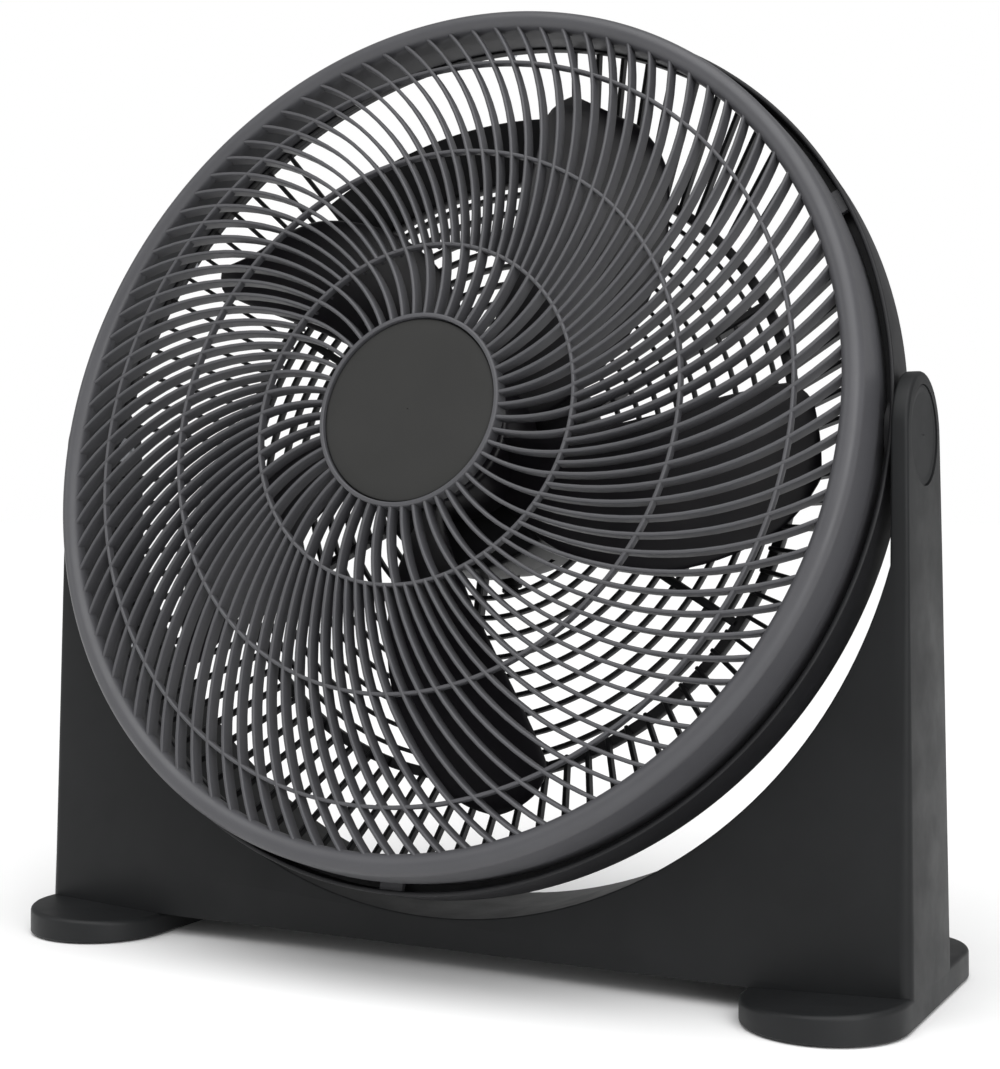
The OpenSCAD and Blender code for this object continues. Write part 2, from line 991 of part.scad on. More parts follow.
// Height of a blade above its trailing edge: share 0 to 1 across the blade, at a radius.
function blade_rise(share, radius) =
    let (out = (radius - hub_radius) / (blade_radius - hub_radius))
    blade_depth * (share - 0.12 * sin(180 * share)) * (1 - 0.38 * out);

// Half angle of a blade at a radius: widest at the hub, narrower outward, rounded at its end.
function blade_half(radius) =
    let (out = (radius - hub_radius) / (blade_radius - hub_radius))
    blade_span / 2 * (1 - 0.62 * pow(max(0, out), 2.2)) * sqrt(1 - pow(max(0, (out - 0.9) / 0.12), 2));

// Forward sweep of the middle of a blade at a radius.
function blade_sweep(radius) = 29 * (radius - hub_radius) / (blade_radius - hub_radius);

function blade_point(share, radius, lift) =
    let (
        angle = blade_sweep(radius) + blade_half(radius) * (2 * share - 1),
        middle = hub_back + 20 - blade_depth * 0.19
    )
    [
        radius * cos(angle),
        radius * sin(angle),
        middle + blade_rise(share, radius) - blade_depth * 0.5 * (1 - 0.38) + lift
    ];

module blade() {
    across = 8;
    along = 10;
    root = hub_radius - 2;
    row = across + 1;
    layer = row * (along + 1);
    radii = [for (i = [0:along]) root + (blade_radius - root) * (1 - pow(1 - i / along, 1.35))];
    points = concat(
        [for (i = [0:along]) for (j = [0:across]) blade_point(j / across, radii[i], blade_sheet / 2)],
        [for (i = [0:along]) for (j = [0:across]) blade_point(j / across, radii[i], -blade_sheet / 2)]
    );
    top = [for (i = [0:along - 1]) for (j = [0:across - 1]) for (half = [0, 1])
        let (a = i * row + j)
        half == 0 ? [a, a + 1, a + row] : [a + 1, a + row + 1, a + row]];
    bottom = [for (face = top) [layer + face[0], layer + face[2], layer + face[1]]];
    ends = concat(
        [for (j = [0:across - 1]) for (half = [0, 1])
            half == 0 ? [j, layer + j, j + 1] : [j + 1, layer + j, layer + j + 1]],
        [for (j = [0:across - 1]) for (half = [0, 1])
            let (a = along * row + j)
            half == 0 ? [a, a + 1, layer + a] : [a + 1, layer + a + 1, layer + a]],
        [for (i = [0:along - 1]) for (half = [0, 1])
            let (a = i * row)
            half == 0 ? [a, a + row, layer + a] : [a + row, layer + a + row, layer + a]],
        [for (i = [0:along - 1]) for (half = [0, 1])
            let (a = i * row + across)
            half == 0 ? [a, layer + a, a + row] : [a + row, layer + a, layer + a + row]]
    );
    polyhedron(points = points, faces = concat(top, bottom, ends));
}

module fan_impeller() {
    color([0.15, 0.15, 0.16])
        in_head()
            difference() {
                union() {
                    for (k = [0:blade_count - 1])
                        rotate([0, 0, k * 360 / blade_count + 42])
                            blade();
                    difference() {
                        bar(hub_radius, hub_back, hub_front);
                        bar(hub_radius - hub_wall, hub_back - 1, hub_front - hub_wall);
                    }
                    bar(shaft_radius + 5, hub_back + 6, hub_front);
                }
                bar(shaft_radius + seat_fit, hub_back - 1, hub_front + 1);
            }
}

module blade_nut() {
    color([0.2, 0.2, 0.22])
        in_head()
            difference() {
                union() {
                    bar(14, hub_front, hub_front + 3);
                    bar(9, hub_front, hub_front + 11.5);
                }
                bar(shaft_radius + seat_fit, hub_front - 1, hub_front + 10);
            }
}

module switch_spindle() {
    color([0.75, 0.75, 0.78])
        in_head()
            translate([0, switch_offset, 0])
                bar(spindle_radius, cover_back - knob_depth + 4, cover_back + cover_wall + switch_depth - 3);
}

module speed_knob() {
    color([0.16, 0.16, 0.17])
        in_head()
            translate([0, switch_offset, 0])
                difference() {
                    union() {
                        bar(knob_radius, cover_back - 4, cover_back - 0.5);
                        bar(knob_radius - 3, cover_back - knob_depth, cover_back - 0.5);
                        translate([-2.5, -knob_radius + 0.5, cover_back - knob_depth])
                            cube([5, knob_radius, knob_depth - 1]);
                    }
                    bar(spindle_radius + seat_fit, cover_back - knob_depth + 3.9, cover_back);
                }
}

stand_shell();
stand_back();
stand_screws();
left_foot();
right_foot();
foot_screws();
foot_pads();
left_pivot_cap();
right_pivot_cap();
friction_washers();
pivot_bolts();
pivot_nuts();
front_grille();
front_cap();
rear_housing();
rear_grille();
grille_screws();
motor_front_bell();
motor_rear_bell();
stator_core();
stator_windings();
front_bearing();
rear_bearing();
motor_screws();
motor_cover();
cover_screws();
capacitor();
rotary_switch();
cord_gland();
motor_shaft();
rotor_core();
fan_impeller();
blade_nut();
speed_knob();
switch_spindle();
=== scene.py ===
"""Looks of a floor-standing fan in a low stand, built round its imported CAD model.

Lengths inside the shape code are millimetres. Head pieces are made in the head's own frame: local Z points
forward along the blade axis, local Y up and local X along the tilt axis.
"""

import json
import math

import bmesh
import bpy
from mathutils import Matrix, Vector


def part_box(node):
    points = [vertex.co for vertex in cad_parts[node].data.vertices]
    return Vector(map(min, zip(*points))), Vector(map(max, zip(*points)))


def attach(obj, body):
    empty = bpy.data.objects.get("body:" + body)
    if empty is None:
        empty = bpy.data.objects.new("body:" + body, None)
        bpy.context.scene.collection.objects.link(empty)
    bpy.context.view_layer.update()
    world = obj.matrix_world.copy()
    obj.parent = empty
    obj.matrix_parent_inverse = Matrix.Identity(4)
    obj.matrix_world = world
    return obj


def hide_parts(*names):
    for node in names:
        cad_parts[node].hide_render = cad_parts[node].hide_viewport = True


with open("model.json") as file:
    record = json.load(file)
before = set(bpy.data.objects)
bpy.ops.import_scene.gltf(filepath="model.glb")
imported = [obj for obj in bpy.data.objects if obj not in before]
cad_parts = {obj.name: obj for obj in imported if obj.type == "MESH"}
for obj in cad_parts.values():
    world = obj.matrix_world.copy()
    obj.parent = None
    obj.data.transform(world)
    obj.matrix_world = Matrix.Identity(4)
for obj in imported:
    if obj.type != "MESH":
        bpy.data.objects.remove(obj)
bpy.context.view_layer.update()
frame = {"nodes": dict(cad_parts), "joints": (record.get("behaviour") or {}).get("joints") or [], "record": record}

MM = 0.001
JOINTS = {joint["name"]: joint for joint in frame["joints"]}
PIVOT_Z = JOINTS["head_tilt"]["pos_m"][2] / MM
AXIS = Vector(JOINTS["blade_spin"]["axis"]).normalized()
HEAD = Matrix((Vector((1, 0, 0)), Vector((0, AXIS.z, -AXIS.y)), AXIS)).transposed().to_4x4()
HEAD.translation = Vector((0, 0, PIVOT_Z * MM))
SLOT_OF = {part["node"]: part["material_slot"] for part in frame["record"]["subparts"]}

# Sizes shared with the CAD model.
RIM = 240.0
LIP = 6.0
FACE = 55.0
HOUSING_IN = 256.5
HOUSING_OUT = 259.5
MOUTH = 22.0
LEDGE = 10.0
WIDE = 187.5
REAR_A = -40.0
CAP_R = 54.0
HUB_R = 44.0
BLADE_R = 216.0
HUB_FRONT = 33.0
HUB_BACK = -7.0
PLATE_R = 70.0
PLATE_BACK = -24.0
COVER_BACK = -96.0
SWITCH_Y = -31.0
ARM_IN = 261.0
ARM_OUT = 270.0
CUT_R = 270.5
CUT_Z = PIVOT_Z + 4.5
BASE_HALF = 272.5
FOOT_TOP = 13.0
BASE_DEPTH = 42.0
ARM_DEPTH = 33.0
FOOT_AXIS = 229.5
FOOT_HALF = 43.0
LATCHES = (30, 150, 270)


# ---- shapes ----


class Shape:
    """Points and faces of one piece, in millimetres."""

    def __init__(self):
        self.points = []
        self.faces = []

    def add(self, points, faces):
        base = len(self.points)
        self.points.extend(Vector(p) for p in points)
        self.faces.extend([base + i for i in face] for face in faces)
        return self

    def placed(self, matrix):
        """This shape moved by a matrix whose translation is in millimetres."""
        self.points = [matrix @ p for p in self.points]
        return self


def grid(rows, across, round_rows=False, caps=False):
    """Faces between rows of points. The points of a row always close up; the rows close up if asked."""
    faces = []
    last = rows if round_rows else rows - 1
    for i in range(last):
        for j in range(across):
            a, b = i * across, ((i + 1) % rows) * across
            k = (j + 1) % across
            faces.append([a + j, a + k, b + k, b + j])
    if caps:
        faces.append(list(range(across))[::-1])
        faces.append([(rows - 1) * across + j for j in range(across)])
    return faces


def polar(radius, degrees):
    return Vector((radius * math.cos(math.radians(degrees)), radius * math.sin(math.radians(degrees))))


def rounded(corners, radii, steps=4):
    """A closed outline with each corner turned into an arc of its own radius."""
    out = []
    n = len(corners)
    for i in range(n):
        here = Vector(corners[i])
        back = Vector(corners[i - 1]) - here
        on = Vector(corners[(i + 1) % n]) - here
        r = radii[i] if hasattr(radii, "__len__") else radii
        angle = back.angle(on)
        if r <= 0 or angle > math.radians(176):
            out.append(here)
            continue
        reach = min(r / math.tan(angle / 2), back.length * 0.48, on.length * 0.48)
        start, end = here + back.normalized() * reach, here + on.normalized() * reach
        for k in range(steps + 1):
            t = k / steps
            out.append(start * (1 - t) ** 2 + here * 2 * t * (1 - t) + end * t * t)
    return out


def lathe(profile, steps=180, wave=None):
    """A closed outline of (radius, height) turned round local Z."""
    shape = Shape()
    points = []
    for i in range(steps):
        a = 2 * math.pi * i / steps
        for r, h in profile:
            q = wave(a, r, h) if wave else r
            points.append((q * math.cos(a), q * math.sin(a), h))
    return shape.add(points, grid(steps, len(profile), round_rows=True))


def arc(profile, start, end, steps, wave=None):
    """A closed outline of (radius, height) turned part of the way round local Z, in degrees."""
    points = []
    for i in range(steps + 1):
        a = math.radians(start + (end - start) * i / steps)
        for r, h in profile:
            q = wave(a, r, h) if wave else r
            points.append((q * math.cos(a), q * math.sin(a), h))
    return Shape().add(points, grid(steps + 1, len(profile), caps=True))


def beam(start, end, width, low, high, soft=0.4):
    """A straight bar between two points of the local XY plane, with softened long edges."""
    start, end = Vector(start), Vector(end)
    side = (end - start).normalized()
    side = Vector((-side.y, side.x)) * (width / 2)
    s = soft / (width / 2)
    section = [(-1, low + soft), (-1, high - soft), (-1 + s, high), (1 - s, high),
               (1, high - soft), (1, low + soft), (1 - s, low), (-1 + s, low)]
    points = [(p.x + side.x * u, p.y + side.y * u, h) for p in (start, end) for u, h in section]
    return Shape().add(points, grid(2, 8, caps=True))


def block(low, high):
    """A plain box, used to cut other shapes."""
    xs, ys, zs = zip(low, high)
    corners = ((xs[0], ys[0]), (xs[1], ys[0]), (xs[1], ys[1]), (xs[0], ys[1]))
    points = [(x, y, z) for z in zs for x, y in corners]
    return Shape().add(points, grid(2, 4, caps=True))


def build(name, shape, sharp=38):
    """A mesh object from a shape, its normals outward, smooth except at sharp edges."""
    mesh = bpy.data.meshes.new(name)
    mesh.from_pydata([p * MM for p in shape.points], [], shape.faces)
    obj = bpy.data.objects.new(name, mesh)
    bpy.context.scene.collection.objects.link(obj)
    finish_mesh(obj, sharp)
    return obj


def finish_mesh(obj, sharp=38):
    bm = bmesh.new()
    bm.from_mesh(obj.data)
    bmesh.ops.remove_doubles(bm, verts=bm.verts, dist=1e-7)
    bmesh.ops.dissolve_degenerate(bm, edges=bm.edges, dist=1e-7)
    bmesh.ops.recalc_face_normals(bm, faces=bm.faces)
    for edge in bm.edges:
        edge.smooth = len(edge.link_faces) == 2 and edge.calc_face_angle(0) < math.radians(sharp)
    for face in bm.faces:
        face.smooth = True
    bm.to_mesh(obj.data)
    bm.free()


def baked(obj):
    """Applies an object's modifiers to its mesh."""
    bpy.context.view_layer.update()
    graph = bpy.context.evaluated_depsgraph_get()
    mesh = bpy.data.meshes.new_from_object(obj.evaluated_get(graph))
    obj.modifiers.clear()
    obj.data = mesh


def cut(obj, shape):
    """Takes a shape away from an object."""
    tool = build("tool", shape)
    step = obj.modifiers.new("cut", "BOOLEAN")
    step.object = tool
    step.solver = "EXACT"
    baked(obj)
    bpy.data.objects.remove(tool)
    finish_mesh(obj)


# ---- materials ----


class Look:
    """A node material, with short ways to add and join nodes."""

    def __init__(self, name):
        self.material = bpy.data.materials.new(name)
        self.material.use_nodes = True
        self.nodes = self.material.node_tree.nodes
        self.links = self.material.node_tree.links
        self.nodes.clear()
        self.out = self.nodes.new("ShaderNodeOutputMaterial")
        self.shader = self.nodes.new("ShaderNodeBsdfPrincipled")
        self.join(self.shader.outputs[0], self.out.inputs[0])
        self.place = self.nodes.new("ShaderNodeTexCoord").outputs["Object"]

    def join(self, output, socket):
        self.links.new(output, socket)

    def noise(self, size_mm, detail=2.0, rough=0.5, stretch=None):
        source = self.place
        if stretch:
            mapping = self.nodes.new("ShaderNodeMapping")
            mapping.inputs["Rotation"].default_value = stretch[0]
            mapping.inputs["Scale"].default_value = stretch[1]
            self.join(source, mapping.inputs["Vector"])
            source = mapping.outputs[0]
        node = self.nodes.new("ShaderNodeTexNoise")
        node.inputs["Scale"].default_value = 1000.0 / size_mm
        node.inputs["Detail"].default_value = detail
        node.inputs["Roughness"].default_value = rough
        self.join(source, node.inputs["Vector"])
        return node.outputs["Fac"]

    def spread(self, value, low, high, near=0.3, far=0.7):
        node = self.nodes.new("ShaderNodeMapRange")
        node.inputs["From Min"].default_value = near
        node.inputs["From Max"].default_value = far
        node.inputs["To Min"].default_value = low
        node.inputs["To Max"].default_value = high
        self.join(value, node.inputs["Value"])
        return node.outputs[0]

    def colour(self, factor, first, second):
        node = self.nodes.new("ShaderNodeMix")
        node.data_type = "RGBA"
        node.inputs["A"].default_value = (*first, 1)
        node.inputs["B"].default_value = (*second, 1)
        self.join(factor, node.inputs["Factor"])
        self.join(node.outputs["Result"], self.shader.inputs["Base Color"])
        return node

    def bump(self, height, strength, depth_mm, after=None):
        node = self.nodes.new("ShaderNodeBump")
        node.inputs["Strength"].default_value = strength
        node.inputs["Distance"].default_value = depth_mm * MM
        self.join(height, node.inputs["Height"])
        if after:
            self.join(after, node.inputs["Normal"])
        return node.outputs[0]

    def set(self, **values):
        for name, value in values.items():
            self.shader.inputs[name.replace("_", " ")].default_value = value
        return self


def linear(r, g, b):
    """Linear colour from 0 to 255 display values."""
    return tuple((c / 255 / 12.92) if c < 10 else ((c / 255 + 0.055) / 1.055) ** 2.4 for c in (r, g, b))


def moulded(name, colour, roughness, specular=0.3, grain=0.5, grain_mm=0.45, mottle=0.14, bloom=0.05):
    """Moulded plastic: fine spark-eroded grain, faint flow mottling and uneven sheen."""
    look = Look(name)
    base = linear(*colour)
    darker = tuple(c * (1 - mottle) for c in base)
    lighter = tuple(c * (1 + mottle) for c in base)
    flow = look.noise(55, 4, 0.55)
    look.colour(look.spread(flow, 0, 1), darker, lighter)
    sheen = look.noise(24, 3, 0.6)
    look.join(look.spread(sheen, roughness - bloom, roughness + bloom), look.shader.inputs["Roughness"])
    coarse = look.bump(look.noise(9, 2), 0.06, 0.12)
    fine = look.bump(look.noise(grain_mm, 3, 0.65), grain, 0.03, after=coarse)
    look.join(fine, look.shader.inputs["Normal"])
    look.set(Specular_IOR_Level=specular)
    return look.material


def metal(name, colour, roughness, stretch=(1, 1, 1), turn=(0, 0, 0), scratch_mm=0.5, scratch=0.25,
          tarnish=0.12):
    """Bare metal: drawn or turned marks, uneven gloss and a trace of tarnish."""
    look = Look(name)
    base = linear(*colour)
    dull = tuple(c * (1 - tarnish) for c in base)
    look.colour(look.spread(look.noise(6, 4), 0, 1), dull, base)
    marks = look.noise(scratch_mm, 3, 0.6, stretch=(turn, stretch))
    look.join(look.spread(marks, roughness * 0.8, roughness * 1.3), look.shader.inputs["Roughness"])
    look.join(look.bump(marks, scratch, 0.02), look.shader.inputs["Normal"])
    look.set(Metallic=1.0)
    return look.material


def banded(name, colour, gap, pitch_mm, roughness, metallic, turn=(0, 0, 0), warp=0.6, direction="Z"):
    """Stacked sheets or wound wire: fine bands with dark gaps between them."""
    look = Look(name)
    mapping = look.nodes.new("ShaderNodeMapping")
    mapping.inputs["Rotation"].default_value = turn
    look.join(look.place, mapping.inputs["Vector"])
    wave = look.nodes.new("ShaderNodeTexWave")
    wave.wave_type = "BANDS"
    wave.bands_direction = direction
    wave.inputs["Scale"].default_value = 1000 / pitch_mm / 20 * math.pi
    wave.inputs["Distortion"].default_value = warp
    wave.inputs["Detail"].default_value = 2
    look.join(mapping.outputs[0], wave.inputs["Vector"])
    look.colour(look.spread(wave.outputs["Fac"], 0, 1, 0.1, 0.6), linear(*gap), linear(*colour))
    look.join(look.bump(wave.outputs["Fac"], 0.6, 0.2), look.shader.inputs["Normal"])
    uneven = look.spread(look.noise(4, 3), roughness - 0.08, roughness + 0.08)
    look.join(uneven, look.shader.inputs["Roughness"])
    look.set(Metallic=metallic)
    return look.material


HEAD_TURN = (math.radians(-75), 0, 0)
LOOKS = {
    "stand_plastic": moulded("stand_plastic", (24, 25, 26), 0.5, specular=0.22),
    "foot_plastic": moulded("foot_plastic", (27, 28, 29), 0.5, specular=0.25),
    "pivot_cap_plastic": moulded(
        "pivot_cap_plastic", (31, 32, 33), 0.62, specular=0.22, grain=0.8, grain_mm=0.7),
    "grille_plastic": moulded("grille_plastic", (70, 70, 73), 0.42, specular=0.4, grain=0.3, mottle=0.06),
    "cap_plastic": moulded(
        "cap_plastic", (41, 41, 40), 0.6, specular=0.25, grain=0.9, grain_mm=0.8, mottle=0.08),
    "housing_plastic": moulded("housing_plastic", (27, 27, 29), 0.48, specular=0.28),
    "blade_plastic": moulded("blade_plastic", (24, 22, 26), 0.36, specular=0.4, grain=0.15, mottle=0.1),
    "nut_plastic": moulded("nut_plastic", (38, 37, 40), 0.5),
    "knob_plastic": moulded("knob_plastic", (33, 33, 35), 0.45, specular=0.4),
    "switch_plastic": moulded("switch_plastic", (46, 46, 48), 0.5),
    "capacitor_plastic": moulded("capacitor_plastic", (216, 213, 200), 0.45, specular=0.5, mottle=0.05),
    "washer_nylon": moulded("washer_nylon", (222, 219, 208), 0.4, specular=0.5, mottle=0.04, grain=0.2),
    "pad_rubber": moulded(
        "pad_rubber", (20, 20, 20), 0.85, specular=0.2, grain=1.0, grain_mm=1.1, mottle=0.25),
    "gland_rubber": moulded(
        "gland_rubber", (22, 22, 22), 0.8, specular=0.2, grain=0.9, grain_mm=0.9, mottle=0.2),
    "screw_steel": metal("screw_steel", (186, 188, 192), 0.32, scratch_mm=0.8),
    "bolt_steel": metal("bolt_steel", (176, 178, 182), 0.36, scratch_mm=0.9, tarnish=0.2),
    "shaft_steel": metal("shaft_steel", (198, 200, 203), 0.2, stretch=(6, 6, 0.4), turn=HEAD_TURN),
    "lamination_steel": banded(
        "lamination_steel", (128, 130, 134), (40, 40, 42), 0.9, 0.45, 0.9, HEAD_TURN, 0.1),
    "motor_aluminium": metal(
        "motor_aluminium", (170, 172, 175), 0.5, scratch_mm=1.6, scratch=0.6, tarnish=0.22),
    "winding_copper": banded(
        "winding_copper", (186, 104, 58), (70, 32, 16), 0.8, 0.35, 0.85, HEAD_TURN, 1.6, "X"),
    "bearing_bronze": metal(
        "bearing_bronze", (178, 132, 74), 0.4, scratch_mm=1.0, scratch=0.5, tarnish=0.3),
}
for node, obj in frame["nodes"].items():
    obj.data.materials.clear()
    obj.data.materials.append(LOOKS[SLOT_OF[node]])


def give(obj, body, *nodes):
    """Sends a finished piece out on a body, in the place and the material of these CAD nodes."""
    slot = SLOT_OF[nodes[0]]
    obj.data.materials.clear()
    obj.data.materials.append(LOOKS[slot])
    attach(obj, body)
    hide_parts(*nodes)
    return obj


def in_head(obj):
    obj.data.transform(HEAD)
    return obj


# ---- front grille ----

CROWN = ((0, 68.7), (54, 68.5), (99, 66.3), (158, 62.9), (217, 56.6), (232, 54.2), (246, 51.6))
RING_ONE, RING_TWO, RING_THREE = 99.0, 157.8, 216.7


def crown(radius):
    """Height of the grille's front face at a radius, smooth between the measured rings."""
    for i in range(len(CROWN) - 1):
        (r0, h0), (r1, h1) = CROWN[i], CROWN[i + 1]
        if radius <= r1 or i == len(CROWN) - 2:
            before = CROWN[i - 1] if i else (r0 - 1, h0)
            after = CROWN[i + 2] if i + 2 < len(CROWN) else (r1 + 1, h1 + (h1 - h0) / (r1 - r0))
            m0 = (h1 - before[1]) / (r1 - before[0])
            m1 = (after[1] - h0) / (after[0] - r0)
            w = r1 - r0
            t = (radius - r0) / w
            return (h0 * (2 * t**3 - 3 * t**2 + 1) + m0 * w * (t**3 - 2 * t**2 + t)
                    + h1 * (3 * t**2 - 2 * t**3) + m1 * w * (t**3 - t**2))


def circle_centre(a, b, c):
    d = 2 * (a.x * (b.y - c.y) + b.x * (c.y - a.y) + c.x * (a.y - b.y))
    return Vector((
        (a.dot(a) * (b.y - c.y) + b.dot(b) * (c.y - a.y) + c.dot(c) * (a.y - b.y)) / d,
        (a.dot(a) * (c.x - b.x) + b.dot(b) * (a.x - c.x) + c.dot(c) * (b.x - a.x)) / d,
    ))


RIB_HALF, RIB_DEPTH = 1.15, 9.0
RIB_SECTION = [(-0.8, RIB_DEPTH), (-RIB_HALF, 1.25), (-0.95, 0.62), (-0.55, 0.16), (0, 0), (0.55, 0.16),
               (0.95, 0.62), (RIB_HALF, 1.25), (0.8, RIB_DEPTH)]


def rib(shape, inner, outer, sweep, bow, turn, stations):
    """One curved rib from radius inner to outer that turns through sweep degrees."""
    a, b, c = polar(inner, -sweep / 2), polar((inner + outer) / 2, -bow), polar(outer, sweep / 2)
    middle = circle_centre(a, b, c)
    radius = (a - middle).length
    start = math.atan2(a.y - middle.y, a.x - middle.x)
    swing = math.atan2(c.y - middle.y, c.x - middle.x) - start
    swing = (swing + math.pi) % (2 * math.pi) - math.pi
    spin = Matrix.Rotation(math.radians(sweep / 2 + turn), 3, "Z")
    points = []
    for i in range(stations + 1):
        t = start + swing * i / stations
        out = Vector((math.cos(t), math.sin(t)))
        at = middle + out * radius
        top = crown(at.length)
        for side, drop in RIB_SECTION:
            q = at + out * side
            points.append(spin @ Vector((q.x, q.y, top - drop)))
    shape.add(points, grid(stations + 1, len(RIB_SECTION), caps=True))


INNER_RIBS, INNER_SWEEP = 50, 5.4
OUTER_RIBS, OUTER_SWEEP = 100, 26.5 * 144 / 145

ribs = Shape()
for k in range(INNER_RIBS):
    rib(ribs, CAP_R + 1, RING_ONE, INNER_SWEEP, 1, k * 360 / INNER_RIBS + 1.2, 9)
for k in range(OUTER_RIBS):
    rib(ribs, RING_ONE, RIM + 3, OUTER_SWEEP, 0.4, k * 360 / OUTER_RIBS - 0.5, 16)
give(in_head(build("grille_ribs", ribs)), "head", "front_grille")


def ring_profile(radius, half, top, depth):
    """Section of a thin ring with a rounded front."""
    return [(radius - half * 0.8, top - depth), (radius - half, top - 1), (radius - half * 0.8, top - 0.4),
            (radius - half * 0.35, top - 0.05), (radius + half * 0.35, top - 0.05),
            (radius + half * 0.8, top - 0.4), (radius + half, top - 1), (radius + half * 0.8, top - depth)]


rings = Shape()
for r in (RING_ONE, RING_TWO, RING_THREE):
    turned = lathe(ring_profile(r, 1.1, crown(r) - 0.35, 5), 240)
    rings.add(turned.points, turned.faces)
cap_top = crown(CAP_R)
collar = lathe(rounded([(CAP_R - 0.3, cap_top - 9), (CAP_R - 0.3, cap_top + 0.6),
                        (CAP_R + 2.4, cap_top + 0.6), (CAP_R + 2.4, cap_top - 9)], [0.2, 0.7, 1.4, 0.4]), 240)
rings.add(collar.points, collar.faces)
plate = lathe([(0.4, cap_top - 9), (CAP_R, cap_top - 9), (CAP_R, cap_top - 6), (0.4, cap_top - 6)], 96)
rings.add(plate.points, plate.faces)
give(in_head(build("grille_rings", rings)), "head", "front_grille")

lip_a = FACE - LIP
lip_arc = [(RIM + LIP + LIP * math.cos(math.radians(t)), lip_a + LIP * math.sin(math.radians(t)))
           for t in range(180, -1, -10)]
RIM_OUT = RIM + 2 * LIP + 1.5
rim_profile = [(RIM, lip_a - 2.5), *lip_arc, (RIM_OUT - 0.6, 38), (RIM_OUT, MOUTH + 6),
               (RIM_OUT - 0.2, MOUTH + 4.2), (RIM_OUT - 0.8, MOUTH + 3.4), (RIM_OUT - 1, MOUTH + 2),
               (RIM_OUT - 1, LEDGE + 0.3), (RIM_OUT - 4, LEDGE + 0.3), (RIM_OUT - 4, lip_a - 5),
               (RIM + 5.5, lip_a - 5), (RIM + 5.5, lip_a - 14),
               (RIM + 2.5, lip_a - 14), (RIM + 2.5, lip_a - 2.5)]
rim = lathe(rim_profile, 288)
for angle in LATCHES:
    hook = block((RIM_OUT - 2, -7, LEDGE + 4), (RIM_OUT + 4.5, 7, LEDGE + 7))
    hook.placed(Matrix.Rotation(math.radians(angle), 4, "Z"))
    rim.add(hook.points, hook.faces)
give(in_head(build("grille_rim", rim)), "head", "front_grille")

cap_profile = [(0.3, cap_top - 6), (0.3, cap_top - 0.75), (20, cap_top - 0.8), (44, cap_top - 0.95),
               (51.6, cap_top - 1.05), (52.7, cap_top - 1.35), (53.2, cap_top - 2.1), (53.4, cap_top - 6)]
give(in_head(build("front_cap_disc", lathe(cap_profile, 200))), "head", "front_cap")


# ---- rear housing and rear grille ----

housing_profile = rounded(
    [(HOUSING_IN + 0.6, MOUTH), (HOUSING_OUT, MOUTH), (HOUSING_OUT, LEDGE - 17), (HOUSING_IN, LEDGE - 17),
     (HOUSING_IN, LEDGE - 3), (RIM_OUT - 5, LEDGE - 3), (RIM_OUT - 5, LEDGE), (HOUSING_IN, LEDGE)],
    [0.9, 1.3, 1.3, 0.6, 0.4, 0.4, 0.4, 0.4])
housing = lathe(housing_profile, 288)
boss_profile = rounded([(5.05, HOUSING_IN - 2.4), (20, HOUSING_IN - 2.4), (20, HOUSING_OUT + 0.5),
                        (5.05, HOUSING_OUT + 0.5)], [0, 0, 0.4, 0.2])
for side in (90, -90):
    boss = lathe(boss_profile, 64).placed(Matrix.Rotation(math.radians(side), 4, "Y"))
    housing.add(boss.points, boss.faces)
rear_housing = build("rear_housing_shell", housing)
slots = Shape()
for angle in LATCHES:
    slot_box = block((HOUSING_IN - 1, -7.6, LEDGE + 3.2), (HOUSING_IN + 9, 7.6, LEDGE + 7.8))
    slot_box.placed(Matrix.Rotation(math.radians(angle), 4, "Z"))
    slots.add(slot_box.points, slot_box.faces)
for side in (1, -1):
    xs = sorted((side * (HOUSING_IN - 9.5), side * (HOUSING_IN - 2.45)))
    notch = block((xs[0], -9.5, LEDGE - 5), (xs[1], 9.5, LEDGE + 1))
    slots.add(notch.points, notch.faces)
cut(rear_housing, slots)
give(in_head(rear_housing), "head", "rear_housing")

BASKET_IN = RIM_OUT - 4
SLOPE = math.atan2(LEDGE - 7 - REAR_A, BASKET_IN + 1 - WIDE)
guard = Shape()


def also(shape, part):
    shape.add(part.points, part.faces)


def soft_ring(inner, outer, low, high, steps=200, soft=0.5):
    return lathe(rounded([(inner, low), (outer, low), (outer, high), (inner, high)], soft, 2), steps)


def clear_of_bosses(angle, radius, height):
    """Radius of the basket's outer ring, flattened beside the pivot bosses."""
    beside = abs(radius * math.sin(angle)) < 21
    return min(radius, (HOUSING_IN - 2.9) / abs(math.cos(angle))) if beside else radius


def slope_point(along, across):
    """A (radius, height) on the sloping side of the basket: along it, then forward across it."""
    return (WIDE + along * math.cos(SLOPE) - across * math.sin(SLOPE),
            REAR_A - 2 + along * math.sin(SLOPE) + across * math.cos(SLOPE))


basket_ring = rounded([(BASKET_IN, LEDGE - 7), (HOUSING_IN - 0.3, LEDGE - 7), (HOUSING_IN - 0.3, LEDGE - 3),
                       (BASKET_IN, LEDGE - 3)], 0.6, 2)
for start in (2.45, 182.45):
    also(guard, arc(basket_ring, start, start + 175.1, 180, clear_of_bosses))
handle = rounded([slope_point(0.5, 1), slope_point(37, 1), slope_point(37, 4), slope_point(0.5, 4)], 1.2, 4)
also(guard, arc(handle, 80, 128, 60))
also(guard, soft_ring(WIDE - 3, WIDE + 3, REAR_A - 7, REAR_A, soft=1.2))
for k in range(1, 10):
    r = PLATE_R + 12 * k
    also(guard, soft_ring(r - 1.2, r + 1.2, REAR_A - 6, REAR_A - 1, soft=0.7))
for k in range(6):
    also(guard, beam(polar(PLATE_R - 2, 60 * k + 30), polar(WIDE, 60 * k + 30), 5, REAR_A - 8, REAR_A, 1))
